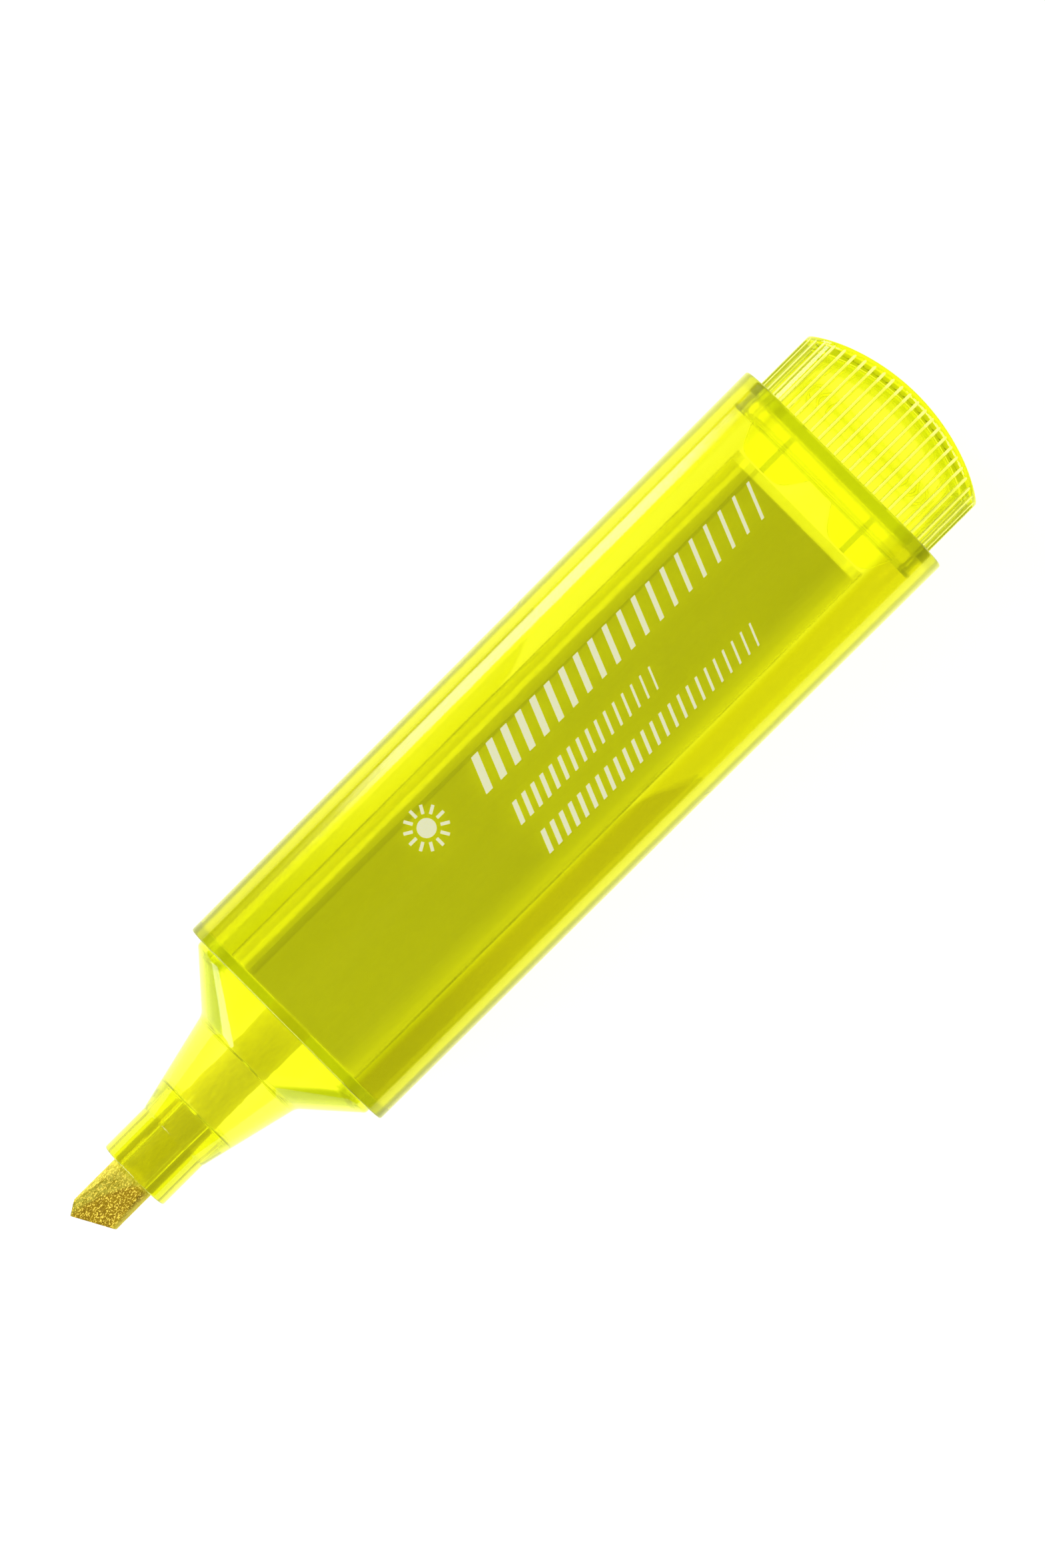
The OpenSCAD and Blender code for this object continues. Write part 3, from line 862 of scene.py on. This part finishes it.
def from_middle(tree):
    """Distance across the pen from its centre line, in metres."""
    return add_math(tree, "ABSOLUTE", object_axis(tree, "Y"))


def add_along(tree, start, end, axis="X", smooth=True):
    """Value from 0 to 1 between two places along an axis of the object, in millimetres."""
    return add_rise(tree, object_axis(tree, axis), start * MM, end * MM, smooth)


def add_bands(tree, bands, axis="X"):
    """Tint at places along an axis, used for painted shade; the bands are (start, end, tint, soft edge) in
    millimetres, in order.
    """
    first, last = bands[0][0] - 1, bands[-1][1] + 1
    stops = []
    for low, high, tint, soft in bands:
        stops += [(low, WHITE), (low + soft, tint), (high - soft, tint), (high, WHITE)]
    stops = [((place - first) / (last - first), tint) for place, tint in stops]
    return add_ramp(tree, add_along(tree, first, last, axis, smooth=False), stops)


def barrel_depth(tree):
    """Distance inwards across the pen from the barrel's widest outline, in metres."""
    return add_math(tree, "SUBTRACT", REAR_HALF_W * MM, from_middle(tree))


def nose_depth(tree):
    """Distance inwards across the pen from the nose section's outline, in metres."""
    length = FLANGE_REAR - NOZZLE_TIP
    outline = [
        (NOZZLE_TIP, NOZZLE_R),
        (NOZZLE_REAR, NOZZLE_R),
        (CONE_REAR, CONE_R),
        (LEDGE_FRONT, LEDGE_HALF_W),
    ]
    stops = [((x - NOZZLE_TIP) / length, [half_w / LEDGE_HALF_W] * 3) for x, half_w in outline]
    share = add_ramp(tree, add_along(tree, NOZZLE_TIP, FLANGE_REAR, smooth=False), stops)
    half_w = add_math(tree, "MULTIPLY", share, LEDGE_HALF_W * MM)
    return add_math(tree, "SUBTRACT", half_w, from_middle(tree))


def dome_depth(tree):
    """Distance inwards along the pen's flat face from the plug's dome, in metres."""
    place = add_node(tree, "ShaderNodeTexCoord")
    offset = add_node(tree, "ShaderNodeVectorMath", operation="MULTIPLY_ADD")
    offset.inputs[1].default_value = (1, 1, 0)
    offset.inputs[2].default_value = ((DOME_R - DOME_TOP) * MM, 0, 0)
    length = add_node(tree, "ShaderNodeVectorMath", operation="LENGTH")
    tree.links.new(place.outputs["Object"], offset.inputs[0])
    tree.links.new(offset.outputs["Vector"], length.inputs[0])
    return add_math(tree, "SUBTRACT", DOME_R * MM, length.outputs["Value"])


def add_zone(tree, value, start, end, soft):
    """1 where a value in metres lies between two limits in millimetres, with soft edges, and 0 elsewhere."""
    inside = add_rise(tree, value, start * MM, (start + soft) * MM)
    outside = add_rise(tree, value, end * MM, (end - soft) * MM)
    return add_math(tree, "MULTIPLY", inside, outside)


# ---------------------------------------------------------------- materials


def translucent_plastic(name, density, glow, rough, depth_of, painted_rim_glow, dark, bands, side_bands=()):
    """Fluorescent clear moulding that darkens with the length of plastic that light crosses, with a painted
    glow that stands in for its fluorescence.

    depth_of adds the distance inwards from an outline, and rim is (glow, width) of a painted glow along that
    outline.
    dark lists bands of painted shade inside the outline, each (start, end, tint, first X, last X, soft X).
    bands and side_bands are painted shade along X and across Y, each (start, end, tint, soft edge).
    """
    material, tree, shader = start_material(name)
    cloud = add_noise(tree, 260, 3, (0.12, 1, 1))
    colour = add_ramp(tree, cloud, [(0.35, TINT), (0.7, DEEP_TINT)])
    # Painted shade in bands along X, and across Y where given.
    colour = tinted(tree, colour, add_bands(tree, bands))
    if side_bands:
        colour = tinted(tree, colour, add_bands(tree, side_bands, "Y"))
    # Painted shade in bands at a depth inside an outline.
    for start, end, tint, first, last, soft in dark:
        band = add_zone(tree, depth_of(tree), start, end, DEPTH_SOFT)
        zone = add_zone(tree, object_axis(tree, "X"), first, last, soft)
        band = add_math(tree, "MULTIPLY", band, zone)
        colour = tinted(tree, colour, mix_colours(tree, band, (*WHITE, 1), (*tint, 1)))
    tree.links.new(colour, shader.inputs["Base Color"])
    grain = add_noise(tree, 1500, 4)
    tree.links.new(add_range(tree, grain, rough * 0.7, rough * 1.4), shader.inputs["Roughness"])
    add_bump(tree, shader, add_noise(tree, 300, 2), 0.04, 0.0004)
    shader.inputs["IOR"].default_value = PLASTIC_IOR
    shader.inputs["Transmission Weight"].default_value = CLEAR_SHARE
    # Painted glow for the fluorescence, stronger along the outline.
    shader.inputs["Emission Color"].default_value = (*FLUORESCENCE_PAINTED_GLOW, 1)
    strength, width = painted_rim_glow
    edge = add_rise(tree, depth_of(tree), width * MM, width * 0.2 * MM)
    tree.links.new(add_range(tree, edge, glow, strength), shader.inputs["Emission Strength"])
    body = add_node(tree, "ShaderNodeVolumeAbsorption")
    body.inputs["Color"].default_value = (*BODY_TINT, 1)
    body.inputs["Density"].default_value = density
    tree.links.new(body.outputs["Volume"], tree.nodes["Material Output"].inputs["Volume"])
    return material


def barrel_plastic():
    """Satin plastic with painted shade at both rims, along the sides and towards the front."""
    return translucent_plastic(
        "plastic_barrel",
        density=1300,
        glow=0.055,
        rough=0.12,
        depth_of=barrel_depth,
        painted_rim_glow=(0.27, 0.75),
        # Painted shade towards the front, at both rims, and along both sides, wider on the side away from
        # the lamps.
        dark=[(0.3, 5.2, FRONT_PAINTED_SHADE, FRONT_RIM - 20, FRONT_RIM + 24, 18)],
        bands=[
            (FRONT_RIM - 0.5, FLANGE_REAR, FRONT_RIM_PAINTED_SHADE, 0.12),
            (COLLAR_BAND, REAR_RIM + 0.5, REAR_RIM_PAINTED_SHADE, 0.12),
        ],
        side_bands=[
            (-REAR_HALF_W - 0.5, -8.6, SIDE_PAINTED_SHADE, 0.7),
            (11.0, REAR_HALF_W + 0.5, SIDE_PAINTED_SHADE, 0.5),
        ],
    )


def nose_plastic():
    """Glossy plastic with painted shade in the nozzle and on the shoulder's slanted sides."""
    return translucent_plastic(
        "plastic_nose",
        density=1900,
        glow=0.08,
        rough=0.06,
        depth_of=nose_depth,
        painted_rim_glow=(0.32, 0.9),
        # Painted shade on the shoulder's slanted sides and the nozzle's sides, and over the whole nozzle.
        dark=[
            (0.7, 3.6, SHOULDER_PAINTED_SHADE, CONE_REAR - 0.3, LEDGE_FRONT + 0.8, 0.6),
            (0.2, 2.5, NOZZLE_SIDE_PAINTED_SHADE, NOZZLE_TIP - 1, NOZZLE_REAR + 0.5, 0.5),
        ],
        bands=[(NOZZLE_TIP - 0.5, CONE_FLOOR, NOZZLE_PAINTED_SHADE, 0.5)],
    )


def plug_plastic():
    """Glossy plastic with painted shade along the dome's edge, at the seal and the collar, at the bars and
    along the sides.
    """
    return translucent_plastic(
        "plastic_plug",
        density=1000,
        glow=0.08,
        rough=0.06,
        depth_of=dome_depth,
        painted_rim_glow=(0.26, 0.5),
        # Painted shade along the dome's edge, at the seal, the collar and the bars, and along both sides.
        dark=[(0.35, 2.5, DOME_EDGE_PAINTED_SHADE, REAR_RIM, DOME_TOP + 1, 0.6)],
        bands=[
            (SEAL_FRONT, SEAL_REAR, SEAL_AND_COLLAR_PAINTED_SHADE, 0.12),
            (COLLAR_BAND, REAR_RIM, SEAL_AND_COLLAR_PAINTED_SHADE, 0.12),
            (BAR_START - 0.4, BAR_END + 0.4, BAR_PAINTED_SHADE, 1.4),
        ],
        side_bands=[(-12.5, -9.4, PLUG_SIDE_PAINTED_SHADE, 0.8), (9.8, 12.5, PLUG_SIDE_PAINTED_SHADE, 0.8)],
    )


def rib_plastic(name, tint, glow):
    """Plastic of one part of a grip rib, a little frosted by handling, in a tint and glow that paint its
    light: a painted highlight on the crowns, painted shade on the flanks.
    """
    material, tree, shader = start_material(name)
    wear = add_noise(tree, 2500, 3, (0.2, 1, 1))
    worn = [channel * 0.92 for channel in tint]
    tree.links.new(add_ramp(tree, wear, [(0.35, tint), (0.7, worn)]), shader.inputs["Base Color"])
    tree.links.new(add_range(tree, wear, 0.2, 0.35), shader.inputs["Roughness"])
    add_bump(tree, shader, wear, 0.05, 0.0001)
    shader.inputs["IOR"].default_value = PLASTIC_IOR
    shader.inputs["Transmission Weight"].default_value = 0.75
    shader.inputs["Emission Color"].default_value = (*tint, 1)
    shader.inputs["Emission Strength"].default_value = glow
    return material


def ink_fibre():
    """Bundled fibre soaked with ink, a little brighter towards the front, with a painted glow that grows
    towards its sides.
    """
    material, tree, shader = start_material("fibre_reservoir")
    strands = add_noise(tree, 900, 6, (0.1, 1, 1), 0.7)
    front = add_ramp(tree, strands, [(0.3, (0.93, 0.97, 0.006)), (0.7, (0.98, 1.0, 0.01))])
    rear = add_ramp(tree, strands, [(0.3, (0.84, 0.86, 0.01)), (0.7, (0.92, 0.93, 0.016))])
    soaked = mix_colours(tree, add_along(tree, FRONT_RIM, FRONT_RIM + 32), front, rear)
    cloud = add_ramp(tree, add_noise(tree, 70, 2), [(0.35, (0.93, 0.93, 0.93)), (0.65, WHITE)])
    tree.links.new(tinted(tree, soaked, cloud), shader.inputs["Base Color"])
    tree.links.new(add_range(tree, strands, 0.55, 0.85), shader.inputs["Roughness"])
    add_bump(tree, shader, strands, 0.6, 0.0002)
    # Painted glow over the fibre, stronger towards its sides.
    shader.inputs["Emission Color"].default_value = (0.95, 0.96, 0.01, 1)
    side = add_rise(tree, from_middle(tree), 5.5 * MM, (core_high[1] - 0.3) * MM)
    tree.links.new(add_range(tree, side, 0.33, 0.50), shader.inputs["Emission Strength"])
    return material


def nib_fibre():
    """Fibre: golden with pale fibre ends on the facet, lighter round it, partly unworn fibre and partly
    painted light, wet yellow inside the nose, and a painted glow over all.
    """
    material, tree, shader = start_material("fibre_nib")
    strands = add_noise(tree, 2600, 6, (0.35, 1, 1), 0.7)
    worn = add_ramp(tree, strands, [(0.3, (0.44, 0.25, 0.001)), (0.7, (0.76, 0.50, 0.005))])
    unworn_and_lit = add_ramp(tree, strands, [(0.38, (0.62, 0.50, 0.006)), (0.6, (1.0, 0.94, 0.10))])
    wet = add_ramp(tree, strands, [(0.3, (0.66, 0.62, 0.003)), (0.7, (0.84, 0.81, 0.006))])
    right_edge = add_along(tree, -1.8, -2.4, "Y")
    inside = add_along(tree, NOZZLE_TIP - 0.9, NOZZLE_TIP + 0.8)
    # Lighter round the facet and at the right edge: partly unworn fibre, partly painted light.
    tip = mix_colours(tree, off_facet(tree), worn, unworn_and_lit)
    tip = mix_colours(tree, right_edge, tip, unworn_and_lit)
    blend = mix_colours(tree, inside, tip, wet)
    ends = add_rise(tree, add_noise(tree, 7000, 2, (0.7, 1, 1), 0.6), 0.55, 0.585)
    ends = add_math(tree, "MULTIPLY", ends, add_along(tree, NOZZLE_TIP + 0.5, NOZZLE_TIP - 0.5))
    tree.links.new(mix_colours(tree, ends, blend, (1.0, 0.80, 0.12, 1)), shader.inputs["Base Color"])
    # Painted glow, strongest on the pale fibre ends, then on the right edge and inside the nose.
    glow = mix_colours(tree, ends, (0.05, 0.032, 0.001, 1), (0.68, 0.50, 0.04, 1))
    glow = mix_colours(tree, right_edge, glow, (0.26, 0.20, 0.01, 1))
    glow = mix_colours(tree, inside, glow, (0.24, 0.23, 0.002, 1))
    tree.links.new(glow, shader.inputs["Emission Color"])
    shader.inputs["Emission Strength"].default_value = 1
    shader.inputs["Specular IOR Level"].default_value = 0.25
    tree.links.new(add_range(tree, strands, 0.5, 0.8), shader.inputs["Roughness"])
    add_bump(tree, shader, strands, 0.8, 0.00014)
    return material


def off_facet(tree):
    """0 on the nib's wedge facet and 1 beyond its curved edge, which bends across the bar to the rear."""
    # The edge is a parabola whose top lies ahead of the tip, by millimetres; its curve is per metre.
    ahead, curve = 0.75, 45
    edge_start, edge_end = 1.4 * MM, 2.0 * MM
    reach = add_math(tree, "ADD", object_axis(tree, "X"), (ahead - nib_low[0]) * MM)
    bend = add_math(tree, "MULTIPLY", add_math(tree, "MULTIPLY", reach, reach), curve)
    return add_rise(tree, add_math(tree, "ADD", object_axis(tree, "Y"), bend), edge_start, edge_end)


def clear_film():
    """Clear thin film with faint wrinkles."""
    material, tree, shader = start_material("film_clear")
    wrinkle = add_noise(tree, 300, 3, (0.3, 1, 1))
    colour = add_ramp(tree, wrinkle, [(0.3, (0.99, 0.995, 0.8)), (0.7, (0.97, 0.98, 0.65))])
    tree.links.new(colour, shader.inputs["Base Color"])
    tree.links.new(add_range(tree, wrinkle, 0.05, 0.15), shader.inputs["Roughness"])
    add_bump(tree, shader, wrinkle, 0.2, 0.0003)
    shader.inputs["IOR"].default_value = 1.4
    shader.inputs["Transmission Weight"].default_value = 0.95
    return material


def print_ink():
    """Matt pale ink with a fine speckle and a painted glow that lightens it."""
    material, tree, shader = start_material("ink_pale")
    speckle = add_noise(tree, 4000, 4)
    colour = add_ramp(tree, speckle, [(0.35, (0.90, 0.92, 0.62)), (0.7, (0.96, 0.97, 0.74))])
    tree.links.new(colour, shader.inputs["Base Color"])
    tree.links.new(add_range(tree, speckle, 0.45, 0.65), shader.inputs["Roughness"])
    add_bump(tree, shader, speckle, 0.3, 0.00002)
    # Painted glow that lightens the print.
    shader.inputs["Emission Color"].default_value = (0.95, 0.96, 0.56, 1)
    shader.inputs["Emission Strength"].default_value = 0.47
    return material


# ---------------------------------------------------------------- stage


def make_floor():
    """Wide white floor that lights itself a little."""
    half = 3.0
    corners = ((-half, -half, 0), (half, -half, 0), (half, half, 0), (-half, half, 0))
    build = bmesh.new()
    build.faces.new([build.verts.new(corner) for corner in corners])
    floor = object_from("floor", build)
    material, _, shader = start_material("floor_white")
    shader.inputs["Base Color"].default_value = (0.36, 0.36, 0.36, 1)
    shader.inputs["Roughness"].default_value = 0.9
    shader.inputs["Specular IOR Level"].default_value = 0.1
    shader.inputs["Emission Color"].default_value = (1, 1, 1, 1)
    shader.inputs["Emission Strength"].default_value = 0.95
    floor.data.materials.append(material)


def make_light(name, place, size, power):
    """Soft box at a place, facing the pen; size is (width, height) in metres."""
    data = bpy.data.lights.new(name, "AREA")
    data.shape = "RECTANGLE"
    data.size, data.size_y = size
    data.energy = power
    lamp = bpy.data.objects.new(name, data)
    lamp.location = place
    direction = Vector((0, 0, MID_Z * MM)) - Vector(place)
    lamp.rotation_euler = direction.to_track_quat("-Z", "Y").to_euler()
    bpy.context.scene.collection.objects.link(lamp)


def make_sky(ring, zenith):
    """Soft light from all round, like a light tent with a dark opening overhead."""
    world = bpy.data.worlds.new("studio")
    world.use_nodes = True
    tree = world.node_tree
    place = add_node(tree, "ShaderNodeTexCoord")
    split = add_node(tree, "ShaderNodeSeparateXYZ")
    tree.links.new(place.outputs["Generated"], split.inputs["Vector"])
    opening_edge, opening = 0.86, 0.97
    overhead = add_rise(tree, split.outputs["Z"], opening_edge, opening)
    strength = add_range(tree, overhead, ring, zenith)
    tree.links.new(strength, tree.nodes["Background"].inputs["Strength"])
    bpy.context.scene.world = world


def make_lights():
    """Light tent, a short box beside the barrel and a large far one off the writing end."""
    make_sky(ring=1.2, zenith=0.06)
    make_light("side_box", place=(0.032, 0.55, 0.22), size=(0.14, 0.28), power=1.0)
    make_light("front_box", place=(-0.95, 0.3, 0.35), size=(0.7, 0.7), power=8)


def make_camera():
    """Looks straight down on the flat face, turned so that the pen runs up to the right."""
    distance, seen_long_side, sensor = 0.9, 0.1548, 36
    aim_right, aim_up = 0.00234, 0.0028
    turn = math.radians(44.9)
    right = Vector((math.cos(turn), -math.sin(turn), 0))
    up = Vector((math.sin(turn), math.cos(turn), 0))
    data = bpy.data.cameras.new("camera")
    data.sensor_width = sensor
    data.lens = sensor * distance / seen_long_side
    data.clip_start, data.clip_end = 0.05, 20
    camera = bpy.data.objects.new("camera", data)
    camera.location = right * aim_right + up * aim_up + Vector((0, 0, MID_Z * MM + distance))
    camera.rotation_euler = (0, 0, -turn)
    bpy.context.scene.collection.objects.link(camera)
    bpy.context.scene.camera = camera


# ---------------------------------------------------------------- build

# The second material paints a highlight on the ribs' crowns, the third paints shade on their flanks.
plug_materials = [
    plug_plastic(),
    rib_plastic("plastic_rib_crown_painted_highlight", RIB_CROWN_PAINTED_HIGHLIGHT, 0.34),
    rib_plastic("plastic_rib_flank_painted_shade", RIB_FLANK_PAINTED_SHADE, 0.08),
]
finished(make_barrel(), [barrel_plastic()], "pen", "barrel")
finished(make_nose(), [nose_plastic()], "pen", "nose_section")
finished(make_plug(), plug_materials, "plug", "end_plug")
finished(make_core(), [ink_fibre()], "pen", "reservoir_core")
finished(make_film(), [clear_film()], "pen", "reservoir_film")
finished(make_nib(), [nib_fibre()], "pen", "nib")
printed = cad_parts["barrel_print"]
printed.data.materials.clear()
printed.data.materials.append(print_ink())

make_floor()
make_lights()
make_camera()
bpy.context.scene.view_settings.view_transform = "Standard"
